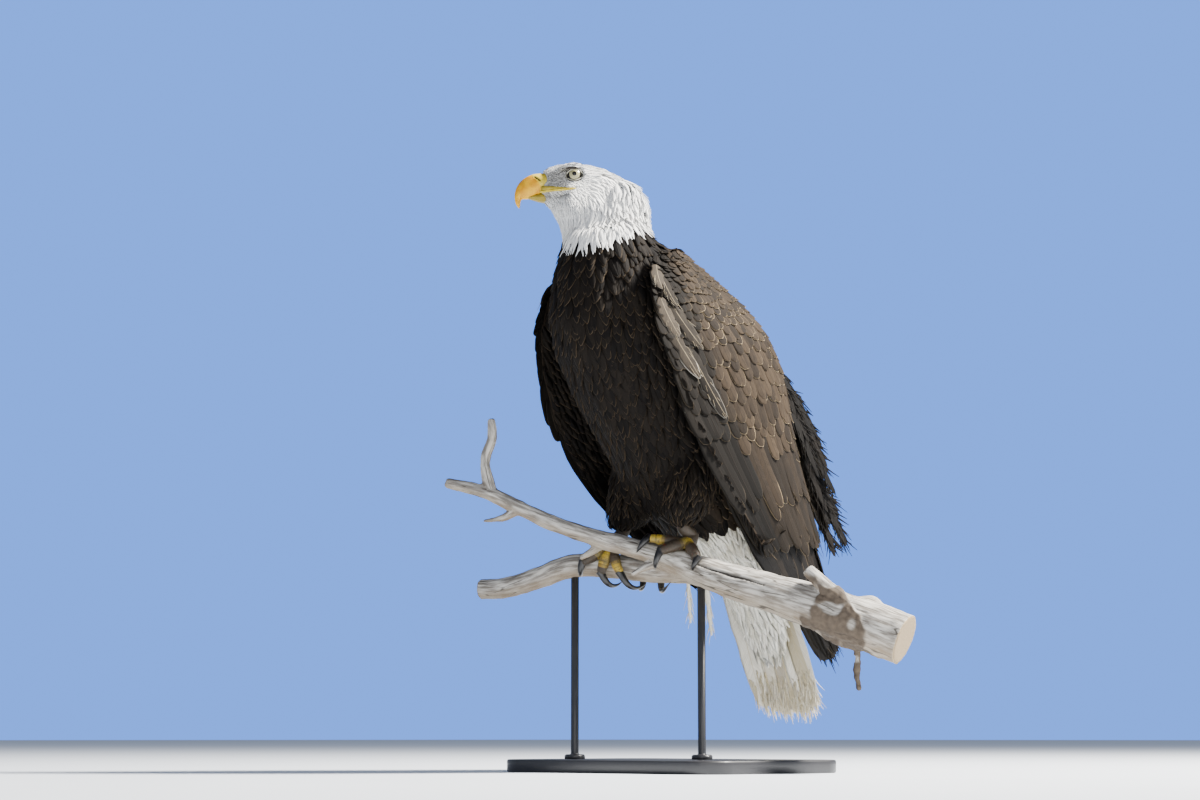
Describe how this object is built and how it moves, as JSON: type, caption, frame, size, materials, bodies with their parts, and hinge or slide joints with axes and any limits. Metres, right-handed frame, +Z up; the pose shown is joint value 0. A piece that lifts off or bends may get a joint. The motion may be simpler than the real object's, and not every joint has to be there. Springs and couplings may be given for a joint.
{
  "type": "perched bald eagle",
  "caption": "Life-size bald eagle at rest with folded wings and turned head, gripping a forked bare branch on a flat stand with slim rods.",
  "frame": {"origin": "middle of the underside of the stand's base", "axes": "+Z up; the bird's chest faces -Y and its left side is +X; the head is turned 45 degrees to its right"},
  "size_m": [0.5431, 0.5062, 0.7559],
  "materials": {
    "plumage_dark": "matt dark brown feathers with fine paler edges",
    "plumage_wing": "grey-brown wing coverts with pale edges",
    "plumage_flight": "blackish brown flight feathers, slight sheen",
    "plumage_white": "matt white feathers",
    "bill_horn": "smooth yellow horn",
    "scaled_skin": "dull yellow scaly skin",
    "claw_horn": "smooth black horn",
    "eye_surface": "wet, pale straw iris with a black pupil",
    "bare_wood": "weathered grey, cracked and dry",
    "stand_board": "smooth satin black paint",
    "stand_steel": "satin black paint"
  },
  "bodies": {
    "root": {"bill_lower": "bill_horn", "bill_upper": "bill_horn", "claw_hind_left": "claw_horn", "claw_hind_right": "claw_horn", "claw_inner_left": "claw_horn", "claw_inner_right": "claw_horn", "claw_middle_left": "claw_horn", "claw_middle_right": "claw_horn", "claw_outer_left": "claw_horn", "claw_outer_right": "claw_horn", "eye_left": "eye_surface", "eye_right": "eye_surface", "head": "plumage_white", "neck": "plumage_white", "perch_branch": "bare_wood", "shank_left": "scaled_skin", "shank_right": "scaled_skin", "stand_base": "stand_board", "stand_rod_left": "stand_steel", "stand_rod_right": "stand_steel", "tail": "plumage_white", "tail_coverts": "plumage_white", "thigh_left": "plumage_dark", "thigh_right": "plumage_dark", "toe_hind_left": "scaled_skin", "toe_hind_right": "scaled_skin", "toe_inner_left": "scaled_skin", "toe_inner_right": "scaled_skin", "toe_middle_left": "scaled_skin", "toe_middle_right": "scaled_skin", "toe_outer_left": "scaled_skin", "toe_outer_right": "scaled_skin", "trunk": "plumage_dark", "wing_left_coverts": "plumage_wing", "wing_left_primaries": "plumage_flight", "wing_left_secondaries": "plumage_flight", "wing_left_tertials": "plumage_flight", "wing_right_coverts": "plumage_wing", "wing_right_primaries": "plumage_flight", "wing_right_secondaries": "plumage_flight", "wing_right_tertials": "plumage_flight"}
  },
  "joints": []
}
